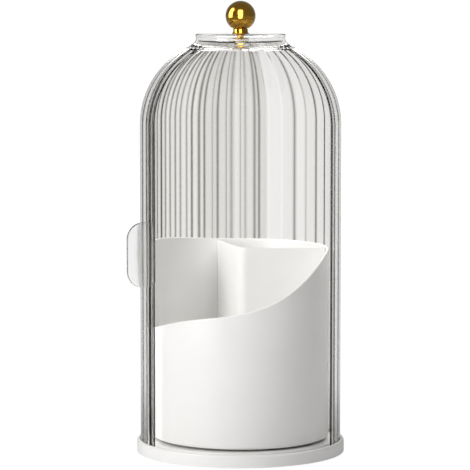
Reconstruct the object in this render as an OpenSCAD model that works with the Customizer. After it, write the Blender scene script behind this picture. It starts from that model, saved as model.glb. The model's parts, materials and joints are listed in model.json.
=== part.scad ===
// Round vanity organizer: a white cup turns on a ball bearing base under a clear fluted dome.
// The dome is open at the front, and a second fluted shell inside it slides round to shut it.
// +Z is up, the front faces -Y, and the origin is at the centre of the underside.

/* [Base] */
// Outer diameter of the base
base_d = 140; // [138:0.5:160]
// Height of the base rim over its lower edge
base_h = 8.2; // [7.8:0.2:12]
// Thickness of the base skirt, outside the track
skirt_wall = 2.1; // [1.6:0.1:2.4]
// Thickness of the base plates
plate_wall = 1.8; // [1.4:0.1:2]
// Depth of the track that holds both clear shells
track_depth = 3.8; // [3:0.1:4]
// Height of the round deck over the base rim
deck_rise = 0.4; // [0:0.1:1]
// Rounding of the base rim
rim_round = 1.4; // [0.4:0.1:1.6]
// Number of ribs under the deck
rib_count = 8; // [4:1:12]

/* [Underside] */
// Thickness of the plate that closes the underside
cover_plate_t = 1.6; // [1.2:0.1:1.8]
// Distance from the edge of the base in to the anti-slip pad
pad_inset = 12; // [10:0.5:30]
// Thickness of the anti-slip pad
pad_t = 1.5; // [1.2:0.1:2]
// Height of the base edge over the table
pad_proud = 0.8; // [0.5:0.1:1.1]
// Number of screws that hold the underside plate
screw_count = 4; // [3:1:6]
// Distance from the edge of the base in to those screws
screw_inset = 22; // [19:0.5:24]
// Shank diameter of those screws
screw_d = 2.2; // [1.8:0.1:2.4]
// Head diameter of those screws
screw_head_d = 5; // [4:0.1:5.6]

/* [Turntable] */
// Diameter of the spindle
spindle_d = 6; // [5:0.1:6.5]
// Wall of the bush that turns on the spindle
bush_wall = 1.2; // [0.8:0.1:1.4]
// Gap between the deck and the cup
cup_gap = 1.4; // [1.2:0.1:1.8]
// Diameter of the bearing balls
ball_d = 4; // [3.4:0.1:4.4]
// Number of bearing balls
ball_count = 16; // [6:1:24]
// Diameter of the circle of balls
ball_circle_d = 60; // [50:1:66]
// Width of each bearing race
race_w = 8; // [6:0.1:9]
// Thickness of each bearing race
race_t = 2; // [1.8:0.1:2.3]
// Clearance between the balls and the race grooves
ball_clear = 0.1; // [0.05:0.01:0.15]
// Thickness of the ball cage
cage_t = 0.9; // [0.6:0.1:0.9]
// Running clearance round the spindle and the stud
run_clear = 0.05; // [0.02:0.01:0.08]
// End play of the cup under its retaining washer
end_play = 0.2; // [0.1:0.05:0.3]

/* [Cup] */
// Gap between the cup and the sliding door
cup_clear = 4.7; // [3.5:0.1:8]
// Wall thickness of the cup
cup_wall = 2; // [1.6:0.1:2.6]
// Depth of the hollow under the cup floor
cup_foot = 2.4; // [2:0.1:4]
// Rounding of the lower edge of the cup
cup_round = 2.2; // [1:0.1:2.4]
// Rim height of the cup at its low end
rim_low = 85; // [70:1:110]
// Rim height of the cup at its high end, on the right
rim_high = 138.4; // [125:0.2:141]
// Rim height of the cup at its left rear
rim_rear = 142.7; // [142:0.1:160]
// Rounding of the rear rim at its free end
rim_corner = 4; // [1:0.5:8]

/* [Divider insert] */
// Height of the raised tray floor over the table
tray_z = 48; // [34:1:70]
// Thickness of the divider insert's walls
divider_wall = 1.8; // [1.2:0.1:2.4]
// Depth of the divider's top edge below the cup's high rim
divider_drop = 1.1; // [0:0.1:8]
// Clearance between the divider insert and the cup
insert_clear = 0.2; // [0.1:0.05:0.4]
// Angle between the divider's two walls
divider_deg = 106.7; // [98:0.1:116]
// Distance of the divider's front wall behind the middle of the cup
divider_back = 6.6; // [0:0.2:10]
// Distance of the divider's corner to the left of the middle
divider_left = 0.4; // [0:0.2:6]
// Rounding of the divider's corner, at the middle of its wall
divider_round = 7; // [5:0.5:9]

/* [Clear cover] */
// Wall thickness of the fixed cover
cover_wall = 1.4; // [1.2:0.1:1.8]
// Height over the table at which the dome starts
dome_z = 221.3; // [204:0.1:244]
// Distance from the axis out to the centre of the curve of the dome's shoulder
shoulder_in = 10.5; // [4:0.5:16]
// Amount by which the radius of the dome's crown is over the radius of the barrel
crown_more = 4.5; // [2:0.5:8]
// Outer diameter of the neck
neck_d = 59.2; // [52:0.2:62]
// Radius of the curve between the dome and the neck
neck_round = 5.5; // [4:0.5:6.5]
// Reach of the lid's rim outside the neck
lid_lip = 0.4; // [0.2:0.1:3]
// Height of the bead round the lid
lid_bead = 0.5; // [0.2:0.1:1]
// Angle of the opening at the front
opening_deg = 128.6; // [100:0.1:132]
// Drop of the opening's top edge below the lid
opening_drop = 7; // [6:0.1:9]
// Number of flutes round a full turn
flute_count = 42; // [30:2:48]
// Width of the groove between two flutes, on the barrel
flute_w = 1.6; // [1:0.1:3]
// Depth of the groove between two flutes
flute_depth = 0.5; // [0.3:0.05:0.7]
// Distance from the neck out to the ends of the flutes
flute_stop = 8; // [7.4:0.2:20]
// Width of the hooks that hold the cover in the base
hook_w = 8; // [5:0.5:12]
// Clearance round the clear shells in the track and round the hooks
shell_clear = 0.4; // [0.3:0.05:0.5]

/* [Sliding door] */
// Wall thickness of the sliding door
door_wall = 1.3; // [1.1:0.1:1.5]
// Gap between the fixed cover and the door
door_gap = 0.4; // [0.3:0.05:0.6]
// Angle by which the door is wider than the opening
door_overlap = 3; // [2:0.2:14]
// Thickness of the door's round top plate
door_top_t = 1.4; // [1:0.1:1.5]
// Depth of the door's top plate below the underside of the lid
door_drop = 2.2; // [2:0.1:2.5]
// Clearance of the door over the track
door_lift = 0.4; // [0.3:0.05:0.6]

/* [Door handle] */
// Reach of the handle outside the cover
handle_reach = 16.5; // [12:0.5:24]
// Height of the handle
handle_h = 43; // [30:1:60]
// Thickness of the handle
handle_t = 2.2; // [1.8:0.1:3]
// Height of the handle's middle over the table
handle_z = 136.8; // [60:0.2:180]
// Rounding of the handle's outer corners
handle_round = 11; // [3:0.5:14]
// Width of the strip that bonds the handle inside the door
strip_w = 9; // [6:0.5:14]
// Thickness of that strip
strip_t = 1; // [0.8:0.1:1.4]
// Gap between the handle and the edge where it stops
stop_gap = 0.3; // [0.2:0.05:0.5]

/* [Knob] */
// Diameter of the ball knob
knob_d = 20; // [16:0.2:26]
// Height of the collar under the ball
collar_h = 2.1; // [0.6:0.1:2.6]
// Diameter of the collar's foot
collar_d = 11.5; // [10:0.1:12]
// Diameter of the stud through the lid
stud_d = 4; // [3:0.1:5]
// Depth of the stud in the ball
stud_grip = 8; // [5:0.5:10]
// Diameter of the ring that sets the door off the lid
spacer_d = 10.4; // [8:0.1:11]
// Diameter of the clear washer under the collar
washer_d = 12; // [11:0.1:14]
// Thickness of the clear washers
washer_t = 0.6; // [0.4:0.1:0.8]
// Diameter of the nut over its flats
nut_af = 7; // [6:0.1:8]
// Thickness of the nut
nut_h = 3.2; // [2.4:0.1:4]
// Diameter of the flange of the door's bush
pivot_flange_d = 11; // [8:0.1:12]
// Thickness of that flange
pivot_flange_t = 0.6; // [0.4:0.1:0.8]
// Axial play of the door on its stud
pivot_play = 0.15; // [0.1:0.05:0.2]

/* [Hidden] */
$fn = 96;
big = 400;

// Heights of the base, from the table up
base_low = pad_proud;
rim_top = base_low + base_h;
deck_top = rim_top + deck_rise;
deck_low = deck_top - plate_wall;
track_floor = rim_top - track_depth;
plate_low = pad_t;
plate_top = plate_low + cover_plate_t;

// Radii of the shells and of the track that holds them
base_r = base_d / 2;
track_out_r = base_r - skirt_wall;
cover_r = track_out_r - shell_clear;
door_r = cover_r - cover_wall - door_gap;
door_in_r = door_r - door_wall;
track_in_r = door_in_r - shell_clear;
track_wall = 1.2;

// Underside: the pad covers the screws, which go up into bosses under the deck
pad_r = base_r - pad_inset;
pad_edge = 0.3;
screw_circle_r = base_r - screw_inset;
screw_boss_wall = 2;
screw_seat_wall = 1.4;
screw_head_t = 1;
screw_seat_rise = 0.8;
screw_tip_gap = 0.8;
recess_share = 0.5;

// Spindle, bush and hub
spindle_r = spindle_d / 2;
bush_r = spindle_r + run_clear + bush_wall;
hub_wall = 1.8;
hub_r = bush_r + hub_wall;
spindle_head_r = spindle_r + 3;
spindle_head_t = 1.8;
spindle_chamfer = 0.4;
boss_r = spindle_head_r + hub_wall;
hub_rise = 2.6;
flange_t = 1;
retaining_d = 2.6;
retaining_grip = 8;
retaining_head_h = 2;

// Ball bearing
ball_r = ball_d / 2;
ball_z = deck_top + cup_gap / 2;
race_r = ball_circle_d / 2;
race_groove_r = ball_r + ball_clear;
seat_wall = 1.6;

// Cup
cup_r = door_in_r - cup_clear;
cup_in_r = cup_r - cup_wall;
cup_low = deck_top + cup_gap;
floor_low = cup_low + cup_foot;
foot_gap = 0.2;
floor_top = floor_low + cup_wall;
hub_top = floor_top + hub_rise;
bush_top = hub_top + flange_t;
spindle_top = bush_top + end_play;
washer_top = spindle_top + flange_t;
rib_t = 1.4;
foot_rise = 0.4;

// Front rim of the cup as a Bezier curve, seen from the front
rim_bow_1 = [-0.41 * cup_r, 23.7];
rim_bow_2 = [0.275 * cup_r, -1.5];
rim_steps = 28;
function bezier(a, b, c, d, t) =
    a * pow(1 - t, 3) + 3 * b * t * pow(1 - t, 2) + 3 * c * t * t * (1 - t) + d * pow(t, 3);
rim_curve = [for (i = [0 : rim_steps]) bezier([-cup_r, rim_low], [rim_bow_1.x, rim_low + rim_bow_1.y],
    [rim_bow_2.x, rim_low + rim_bow_2.y], [cup_r, rim_high], i / rim_steps)];

// Rear rim, raised at the left, from where it falls gently until it is level
fall_bow_1 = -0.6 * cup_r;
fall_bow_2 = -0.4 * cup_r;
fall_end = -0.1 * cup_r;
rear_steps = 12;
rear_curve = [for (i = [0 : rear_steps]) bezier([-cup_r, rim_rear], [fall_bow_1, (rim_rear + rim_high) / 2],
    [fall_bow_2, rim_high], [fall_end, rim_high], i / rear_steps)];

// Divider: an L in plan, from the rear wall to a rounded corner and on to the right wall
divider_along = [cos(divider_deg), sin(divider_deg)];
divider_bend = [-divider_left, divider_back] + divider_round * [tan((180 - divider_deg) / 2), 1];
divider_top = rim_high - divider_drop;
insert_low = floor_top + foot_gap;
insert_r = cup_in_r - insert_clear;
leg_angles = [180, 225, 270, 315];
leg_inset = 6;

// The dome is two arcs in profile: a shoulder, and a crown with its centre on the axis
crown_z = dome_z - sqrt(pow(crown_more + shoulder_in, 2) - pow(shoulder_in, 2));

// Curve between the dome and the neck, with its centre outside the shell
neck_c_r = neck_d / 2 + neck_round;
neck_c_z = crown_z + sqrt(pow(cover_r + crown_more + neck_round, 2) - pow(neck_c_r, 2));
lid_r = neck_d / 2 + lid_lip;
lid_bead_w = 1.6;
flute_end_r = neck_d / 2 + flute_stop;
lid_low = neck_c_z;
lid_top = lid_low + cover_wall;
cover_neck_in = neck_round + cover_wall;
door_neck_out = cover_neck_in + door_gap;
door_neck_in = door_neck_out + door_wall;
door_top = lid_low - door_drop;
pitch = 360 / flute_count;

// Angles are counted from +X, counterclockwise from above
front = -90;
open_right = front + opening_deg / 2;
open_left = front - opening_deg / 2 + 360;
handle_half_deg = asin(handle_t / 2 / door_r);
stop_deg = asin((stop_gap + handle_t / 2) / door_r);
handle_deg = open_left + stop_deg;
door_lead = handle_deg + handle_half_deg;
door_trail = open_left - opening_deg - door_overlap;
handle_root_h = handle_h - 6;
hook_t = 0.9;
hook_reach = 1.4;
hook_inset = 0.2;
hook_low = track_floor - track_wall - hook_t;
hook_angles = [open_right + 16, 90, open_left - 16];

// Knob, stud and door pivot, from the lid up and down
stud_r = stud_d / 2;
knob_r = knob_d / 2;
collar_z = lid_top + washer_t;
collar_edge = 0.35;
collar_top_r = collar_d / 2 - 0.9;
knob_z = collar_z + collar_h + knob_r;
sleeve_wall = 1.4;
pivot_r = stud_r + run_clear + sleeve_wall;
door_top_low = door_top - door_top_t;
pivot_top = door_top + pivot_flange_t;
lower_washer_top = door_top_low - pivot_play;
nut_top = lower_washer_top - washer_t;
nut_low = nut_top - nut_h;
stud_proud = 0.8;
stud_low = nut_low - stud_proud;
stud_end_gap = 0.5;

// A flat ring between two radii
module ring(r_out, r_in, z0, z1) {
    translate([0, 0, z0]) difference() {
        cylinder(h = z1 - z0, r = r_out);
        translate([0, 0, -1]) cylinder(h = z1 - z0 + 2, r = r_in);
    }
}

// A profile's rectangle, from one radius and height to another
module band(r0, r1, z0, z1) {
    translate([r0, z0]) square([r1 - r0, z1 - z0]);
}

// A square whose upper right corner is rounded
module round_corner(r1, z1, w, h, rad) {
    translate([r1 - w, z1 - h]) difference() {
        square([w, h]);
        translate([w - rad, h - rad]) difference() {
            square([rad + 1, rad + 1]);
            circle(rad);
        }
    }
}

module at_screws() {
    for (i = [0 : screw_count - 1])
        rotate([0, 0, 360 / screw_count * (i + 0.5)]) translate([screw_circle_r, 0, 0]) children();
}

module base_plate() {
    color("whitesmoke") difference() {
        union() {
            rotate_extrude() difference() {
                union() {
                    round_corner(base_r, rim_top, skirt_wall, base_h, rim_round);
                    band(track_in_r - track_wall, base_r - 0.1, track_floor - track_wall, track_floor);
                    band(track_in_r - track_wall, track_in_r, track_floor - track_wall, deck_low + 0.1);
                    round_corner(track_in_r, deck_top, track_in_r, plate_wall, rim_round / 2);
                    band(race_r - race_w / 2 - seat_wall, race_r + race_w / 2 + seat_wall,
                        deck_top - race_t - seat_wall, deck_low + 0.1);
                    band(0, boss_r, plate_top, deck_low + 0.1);
                }
                band(race_r - race_w / 2, race_r + race_w / 2, deck_top - race_t, deck_top + 1);
            }
            for (i = [0 : rib_count - 1]) rotate([0, 0, 360 / rib_count * i])
                translate([boss_r - 0.5, -rib_t / 2, track_floor - track_wall])
                    cube([track_in_r - track_wall / 2 - boss_r, rib_t,
                        deck_top - race_t - seat_wall - track_floor + track_wall + 0.2]);
            at_screws() translate([0, 0, plate_top + screw_seat_rise])
                cylinder(h = deck_low - plate_top - screw_seat_rise + 0.2,
                    r = screw_d / 2 + screw_boss_wall);
        }
        translate([0, 0, plate_top - 1]) cylinder(h = spindle_head_t + 1, r = spindle_head_r);
        cylinder(h = deck_top + 1, r = spindle_r);
        at_screws() translate([0, 0, plate_top]) cylinder(h = deck_low - plate_top - screw_tip_gap / 2,
            r = screw_d / 2);
        for (a = hook_angles) rotate([0, 0, a])
            translate([cover_r - cover_wall - hook_reach - shell_clear, -hook_w / 2 - shell_clear,
                track_floor - track_wall - 1])
                cube([cover_wall + hook_reach + shell_clear * 2, hook_w + 2 * shell_clear, track_wall + 2]);
    }
}

module bottom_cover() {
    rim_in = pad_r + shell_clear;
    color("gainsboro") difference() {
        union() {
            rotate_extrude() difference() {
                union() {
                    band(rim_in, track_out_r - shell_clear, base_low, base_low + cover_plate_t);
                    band(rim_in, rim_in + cover_plate_t, base_low, plate_top);
                    band(0, rim_in + cover_plate_t, plate_low, plate_top);
                }
                band(rim_in - 10, rim_in, base_low - 1, plate_low);
            }
            at_screws() translate([0, 0, plate_top - 0.2])
                cylinder(h = screw_seat_rise + 0.2, r = screw_head_d / 2 + screw_seat_wall);
        }
        at_screws() {
            translate([0, 0, plate_low - 1]) cylinder(h = screw_head_t + 1, r = screw_head_d / 2);
            cylinder(h = plate_top + screw_seat_rise + 1, r = screw_d / 2);
        }
    }
}

module anti_slip_pad() {
    color("dimgray") rotate_extrude() difference() {
        round_corner(pad_r, pad_t, pad_r, pad_t, pad_edge);
        translate([pad_r, 0]) circle(pad_edge);
    }
}

module base_screws() {
    color("silver") at_screws() difference() {
        union() {
            translate([0, 0, plate_low]) cylinder(h = screw_head_t, r = screw_head_d / 2);
            translate([0, 0, plate_low])
                cylinder(h = deck_low - screw_tip_gap - plate_low, r = screw_d / 2);
        }
        translate([0, 0, plate_low - 1])
            cross_recess(screw_head_d * recess_share, 1 + screw_head_t * recess_share);
    }
}

// The cross in a screw's head
module cross_recess(w, h) {
    for (a = [0, 90]) rotate([0, 0, a]) translate([-w / 2, -w / 8, 0]) cube([w, w / 4, h]);
}

module pivot_spindle() {
    color("silver") difference() {
        union() {
            translate([0, 0, plate_top]) cylinder(h = spindle_head_t, r = spindle_head_r);
            translate([0, 0, plate_top])
                cylinder(h = spindle_top - plate_top - spindle_chamfer, r = spindle_r);
            translate([0, 0, spindle_top - spindle_chamfer])
                cylinder(h = spindle_chamfer, r1 = spindle_r, r2 = spindle_r - spindle_chamfer);
        }
        translate([0, 0, spindle_top - retaining_grip])
            cylinder(h = retaining_grip + 1, r = retaining_d / 2);
    }
}
module race(z0, z1) {
    color("silver") rotate_extrude() difference() {
        band(race_r - race_w / 2, race_r + race_w / 2, z0, z1);
        translate([race_r, ball_z]) circle(race_groove_r);
    }
}

module lower_race() { race(deck_top - race_t, deck_top); }
module upper_race() { race(cup_low, cup_low + race_t); }

module bearing_balls() {
    color("gainsboro") for (i = [0 : ball_count - 1]) rotate([0, 0, 360 / ball_count * i])
        translate([race_r, 0, ball_z]) sphere(ball_r);
}

module ball_cage() {
    cage_w = race_w - 1;
    color("ivory") difference() {
        ring(race_r + cage_w / 2, race_r - cage_w / 2, ball_z - cage_t / 2, ball_z + cage_t / 2);
        for (i = [0 : ball_count - 1]) rotate([0, 0, 360 / ball_count * i])
            translate([race_r, 0, ball_z - 1]) cylinder(h = 2, r = ball_r + ball_clear);
    }
}

module hub_bush() {
    color("ivory") rotate_extrude() union() {
        band(spindle_r + run_clear, bush_r, cup_low, bush_top);
        band(spindle_r + run_clear, hub_r, hub_top, bush_top);
    }
}

module retaining_washer() {
    color("silver") ring(hub_r, retaining_d / 2, spindle_top, washer_top);
}

module retaining_screw() {
    color("silver") difference() {
        union() {
            translate([0, 0, spindle_top - retaining_grip])
                cylinder(h = retaining_grip + 1, r = retaining_d / 2);
            translate([0, 0, washer_top]) rotate_extrude()
                round_corner(retaining_d, retaining_head_h, retaining_d, retaining_head_h,
                    retaining_head_h / 2);
        }
        translate([0, 0, washer_top + retaining_head_h / 2]) cross_recess(retaining_d, retaining_head_h);
    }
}

// The cup's wall and floor before the rim is cut
module cup_profile() {
    difference() {
        band(0, cup_r, cup_low, rim_rear);
        translate([cup_r - cup_round, cup_low + cup_round]) difference() {
            translate([0, -cup_round - 1]) square(cup_round + 1);
            circle(cup_round);
        }
        band(-1, cup_in_r, floor_top, rim_rear + 1);
        band(-1, cup_in_r, cup_low - 1, floor_low);
    }
    band(race_r - race_w / 2 - seat_wall, race_r - race_w / 2, cup_low + foot_rise, floor_low + 0.1);
    band(race_r + race_w / 2, race_r + race_w / 2 + seat_wall, cup_low + foot_rise, floor_low + 0.1);
    band(race_r - race_w / 2 - 0.1, race_r + race_w / 2 + 0.1, cup_low + race_t, floor_low + 0.1);
    band(0, hub_r, cup_low + foot_rise, hub_top);
}

// Everything above a rim curve, to cut away from a wall
module above(curve) {
    first = curve[0];
    last = curve[len(curve) - 1];
    polygon(concat(curve, [[big, last.y], [big, big], [-big, big], [-big, first.y]]));
}

module cup() {
    race_out = race_r + race_w / 2 + seat_wall;
    color("whitesmoke") difference() {
        union() {
            rotate_extrude() cup_profile();
            for (i = [0 : rib_count - 1]) rotate([0, 0, 360 / rib_count * i])
                translate([race_out - 0.5, -rib_t / 2, cup_low + foot_rise])
                    cube([cup_in_r - race_out + 1, rib_t, cup_foot]);
        }
        translate([0, 0, cup_low - 1]) cylinder(h = hub_top, r = bush_r);
        rotate([90, 0, 0]) linear_extrude(big) above(rim_curve);
        translate([0, cup_r + 1, 0]) rotate([90, 0, 0]) linear_extrude(cup_r + 2) above(rear_curve);
        translate([-cup_r - 1, rim_corner, rim_rear - rim_corner]) rotate([0, 90, 0])
            linear_extrude(cup_wall * 4) difference() {
                translate([-rim_corner - 1, -rim_corner - 2]) square([rim_corner + 1, rim_corner + 2]);
                circle(rim_corner);
            }
    }
}

// Points along an arc, from one angle to another
function arc(centre, r, from, to, steps = 10) =
    [for (i = [0 : steps]) let (a = from + (to - from) * i / steps) centre + r * [cos(a), sin(a)]];

// One face of the divider: in from the right, round the bend at a radius, and out to the rear.
// The order is turned about where the direction is -1.
function divider_line(r, direction = 1) =
    let (right = [[big, divider_bend.y - r]],
        rear = [divider_bend + r * [-divider_along.y, divider_along.x] + divider_along * big],
        turn = direction > 0 ? [270, 90 + divider_deg] : [90 + divider_deg, 270],
        bow = arc(divider_bend, r, turn[0], turn[1]))
    direction > 0 ? concat(right, bow, rear) : concat(rear, bow, right);

// Plan of the divider: a thick L with a rounded corner, from past the rear wall to past the right wall
module divider_plan() {
    inner = divider_round - divider_wall / 2;
    outer = divider_round + divider_wall / 2;
    polygon(concat(divider_line(inner), divider_line(outer, -1)));
}

// Plan of the tray: the cup's inside less the deep compartment
module tray_plan() {
    difference() {
        circle(insert_r);
        polygon(concat(divider_line(divider_round), [[big, big]]));
    }
}

module divider_insert() {
    color("whitesmoke") difference() {
        union() {
            intersection() {
                translate([0, 0, insert_low]) linear_extrude(divider_top - insert_low)
                    divider_plan();
                cylinder(h = big, r = insert_r);
            }
            translate([0, 0, tray_z - divider_wall]) linear_extrude(divider_wall) tray_plan();
            for (a = leg_angles) rotate([0, 0, a])
                translate([hub_r + leg_inset, -divider_wall / 2, insert_low])
                    cube([insert_r - hub_r - leg_inset - 1, divider_wall, tray_z - insert_low - 0.5]);
        }
        cylinder(h = washer_top + retaining_head_h + 2, r = hub_r + 3 * insert_clear);
    }
}

// Everything inside the outer face of the barrel and the dome at a radius, as a full profile
module dome_inside(r, z_low) {
    k = 9;
    join = [shoulder_in, dome_z - crown_z];
    band(0, r, z_low, dome_z);
    intersection() {
        translate([shoulder_in, dome_z]) circle(r - shoulder_in);
        band(0, big, dome_z - 1, big);
    }
    intersection() {
        translate([0, crown_z]) circle(r + crown_more);
        translate([0, crown_z]) polygon([[0, 0], join * k, [0, join.y * k]]);
    }
}

// Shell profile of the barrel and the dome, up to where the neck's curve starts
module dome_profile(r, wall, z_low) {
    k = 9;
    difference() {
        dome_inside(r, z_low);
        dome_inside(r - wall, z_low - 1);
        translate([0, crown_z]) polygon([[0, 0], [neck_c_r, neck_c_z - crown_z] * k,
            [0, (neck_c_z - crown_z) * k]]);
    }
}

// Shell profile of the neck's curve, cut off at a height. It is a hair thicker than the shell, and
// laps over the dome and the lid.
module neck_profile(r_out, r_in, z_top) {
    lap = 0.3;
    intersection() {
        translate([neck_c_r, neck_c_z]) difference() {
            circle(r_in + 0.05);
            circle(r_out - 0.03);
        }
        polygon([[neck_c_r + lap, neck_c_z], [lap, crown_z], [-1, crown_z], [-1, neck_c_z + lap],
            [neck_c_r, neck_c_z + lap]]);
        band(-1, big, 0, z_top);
    }
}

// One groove up the barrel and over the dome, which narrows as the flutes close up
module groove(angle, r, z_low) {
    wide = 2 * asin(flute_w / 2 / r);
    rotate([0, 0, angle - wide / 2]) rotate_extrude(angle = wide) intersection() {
        dome_profile(r + 1, 1 + flute_depth, z_low);
        band(flute_end_r, big, 0, big);
    }
}

module rear_cover() {
    flutes = floor((360 - opening_deg) / 2 / pitch - 0.4);
    color([0.85, 0.87, 0.88, 0.35]) difference() {
        union() {
            rotate_extrude() difference() {
                union() {
                    dome_profile(cover_r, cover_wall, track_floor);
                    neck_profile(neck_round, cover_neck_in, lid_top);
                    band(0, lid_r, lid_low, lid_top);
                    band(lid_r - lid_bead_w, lid_r, lid_top - 0.1, lid_top + lid_bead);
                }
                band(-1, stud_r, lid_low - 1, lid_top + 1);
            }
            for (a = hook_angles) rotate([0, 0, a]) cover_hook();
        }
        sector(open_left, opening_deg, lid_low - opening_drop);
        for (i = [-flutes : flutes]) groove(90 + i * pitch, cover_r, rim_top + 0.2);
    }
}

// A wedge that opens a shell between two angles, up to a height
module sector(from, angle, z_top) {
    rotate([0, 0, from]) rotate_extrude(angle = angle) band(0, big, -1, z_top);
}

// A hook that goes through the track floor and turns in below it
module cover_hook() {
    intersection() {
        translate([0, -hook_w / 2, hook_low]) cube([base_r, hook_w, track_floor - hook_low + 0.4]);
        rotate_extrude() {
            band(cover_r - cover_wall + hook_inset, cover_r - hook_inset, hook_low, track_floor + 0.3);
            band(cover_r - cover_wall - hook_reach, cover_r - hook_inset, hook_low, hook_low + hook_t);
        }
    }
}

module door_cover() {
    span = door_lead - door_trail;
    grooves = floor(span / pitch);
    color([0.85, 0.87, 0.88, 0.35]) difference() {
        rotate_extrude() difference() {
            union() {
                dome_profile(door_r, door_wall, track_floor + door_lift);
                neck_profile(door_neck_out, door_neck_in, door_top);
                difference() {
                    band(0, neck_c_r, door_top_low, door_top);
                    translate([neck_c_r, neck_c_z]) circle(door_neck_out);
                }
            }
            band(-1, pivot_r, door_top_low - 1, door_top + 1);
        }
        sector(door_lead, 360 - span, lid_low - opening_drop);
        for (i = [0 : grooves - 1])
            groove(door_trail + (i + 0.5) * pitch, door_r, rim_top + 0.2);
        rotate([0, 0, handle_deg]) translate([door_in_r - 1, -handle_t / 2, handle_z - handle_root_h / 2])
            cube([door_wall + 3, handle_t * 2, handle_root_h]);
    }
}

module door_handle() {
    out = cover_r + handle_reach;
    color([0.88, 0.9, 0.92, 0.5]) union() {
        rotate([0, 0, handle_deg]) translate([0, handle_t / 2, handle_z]) rotate([90, 0, 0])
            linear_extrude(handle_t) union() {
                difference() {
                    translate([door_r, -handle_h / 2]) square([out - door_r, handle_h]);
                    for (s = [-1, 1]) translate([out - handle_round, s * (handle_h / 2 - handle_round)])
                        difference() {
                            translate([0, s > 0 ? 0 : -handle_round - 1]) square(handle_round + 1);
                            circle(handle_round);
                        }
                }
                translate([door_in_r - strip_t / 2, -handle_root_h / 2])
                    square([door_wall + strip_t / 2 + 1, handle_root_h]);
            }
        translate([0, 0, handle_z - handle_root_h / 2 + 1]) linear_extrude(handle_root_h - 2)
            intersection() {
                difference() {
                    circle(door_in_r);
                    circle(door_in_r - strip_t);
                }
                rotate(handle_deg) translate([0, -strip_w]) square([big, strip_w]);
            }
    }
}

module door_bush() {
    color("ivory") rotate_extrude() union() {
        band(stud_r + run_clear, pivot_r, door_top_low, pivot_top);
        band(stud_r + run_clear, pivot_flange_d / 2, door_top, pivot_top);
    }
}

module knob_ball() {
    color("goldenrod") difference() {
        translate([0, 0, knob_z]) sphere(knob_r);
        translate([0, 0, knob_z - knob_r - 1]) cylinder(h = stud_grip + 1, r = stud_r);
    }
}

module knob_collar() {
    color("goldenrod") rotate_extrude() difference() {
        union() {
            band(stud_r, collar_d / 2, collar_z, collar_z + collar_edge);
            polygon([[stud_r, collar_z + collar_edge / 2], [collar_d / 2, collar_z + collar_edge / 2],
                [collar_top_r, collar_z + collar_h + collar_edge],
                [collar_top_r, collar_z + collar_h + 2], [stud_r, collar_z + collar_h + 2]]);
        }
        translate([0, knob_z]) circle(knob_r);
    }
}

module knob_stud() {
    color("darkgoldenrod") translate([0, 0, stud_low])
        cylinder(h = knob_z - knob_r + stud_grip - stud_end_gap - stud_low, r = stud_r);
}

module knob_washer() { color([0.9, 0.9, 0.9, 0.6]) ring(washer_d / 2, stud_r, lid_top, collar_z); }

module spacer_sleeve() {
    color("goldenrod") ring(spacer_d / 2, stud_r, pivot_top + pivot_play, lid_low);
}

module lower_washer() {
    color([0.9, 0.9, 0.9, 0.6]) ring(pivot_flange_d / 2, stud_r, nut_top, lower_washer_top);
}

module knob_nut() {
    color("goldenrod") translate([0, 0, nut_low]) difference() {
        intersection() {
            cylinder(h = nut_h, r = nut_af / sqrt(3), $fn = 6);
            cylinder(h = nut_h, r = nut_af / 2 + 0.45);
        }
        translate([0, 0, -1]) cylinder(h = nut_h + 2, r = stud_r);
    }
}

base_plate();
bottom_cover();
anti_slip_pad();
base_screws();
pivot_spindle();
lower_race();
retaining_washer();
retaining_screw();
cup();
divider_insert();
hub_bush();
upper_race();
ball_cage();
bearing_balls();
rear_cover();
door_cover();
door_handle();
door_bush();
knob_ball();
knob_collar();
knob_stud();
knob_washer();
spacer_sleeve();
lower_washer();
knob_nut();
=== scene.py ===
import json
import math

import bpy
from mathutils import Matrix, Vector

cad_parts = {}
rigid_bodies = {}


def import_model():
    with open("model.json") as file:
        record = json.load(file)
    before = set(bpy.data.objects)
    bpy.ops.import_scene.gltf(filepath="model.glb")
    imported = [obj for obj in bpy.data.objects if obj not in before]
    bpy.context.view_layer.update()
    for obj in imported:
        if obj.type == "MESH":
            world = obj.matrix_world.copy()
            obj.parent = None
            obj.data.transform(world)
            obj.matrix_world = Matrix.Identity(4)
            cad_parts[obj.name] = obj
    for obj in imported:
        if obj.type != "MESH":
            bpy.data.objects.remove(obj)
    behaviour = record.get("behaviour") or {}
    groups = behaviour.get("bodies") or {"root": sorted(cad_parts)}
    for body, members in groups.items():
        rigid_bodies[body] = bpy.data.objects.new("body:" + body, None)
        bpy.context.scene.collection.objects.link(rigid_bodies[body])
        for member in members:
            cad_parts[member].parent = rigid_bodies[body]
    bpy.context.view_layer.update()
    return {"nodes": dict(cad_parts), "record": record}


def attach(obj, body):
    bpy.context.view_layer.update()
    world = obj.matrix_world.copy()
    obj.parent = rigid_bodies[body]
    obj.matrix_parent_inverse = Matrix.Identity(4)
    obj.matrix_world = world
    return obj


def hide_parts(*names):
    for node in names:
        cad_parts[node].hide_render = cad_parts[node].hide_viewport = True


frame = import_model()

mm = 0.001
print("frame loaded:", len(frame["nodes"]), "nodes")


# The view, the room and the lamps

viewSetup = {
    "distance": 1.851,       # in front of the turning axis
    "height": 0.338,
    "sideStep": -0.0037,
    "tiltDown": 5.9,         # degrees below the horizon
    "lens": 211.8,
    "sensor": 36,
    "clip": (0.05, 60),
}

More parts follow.
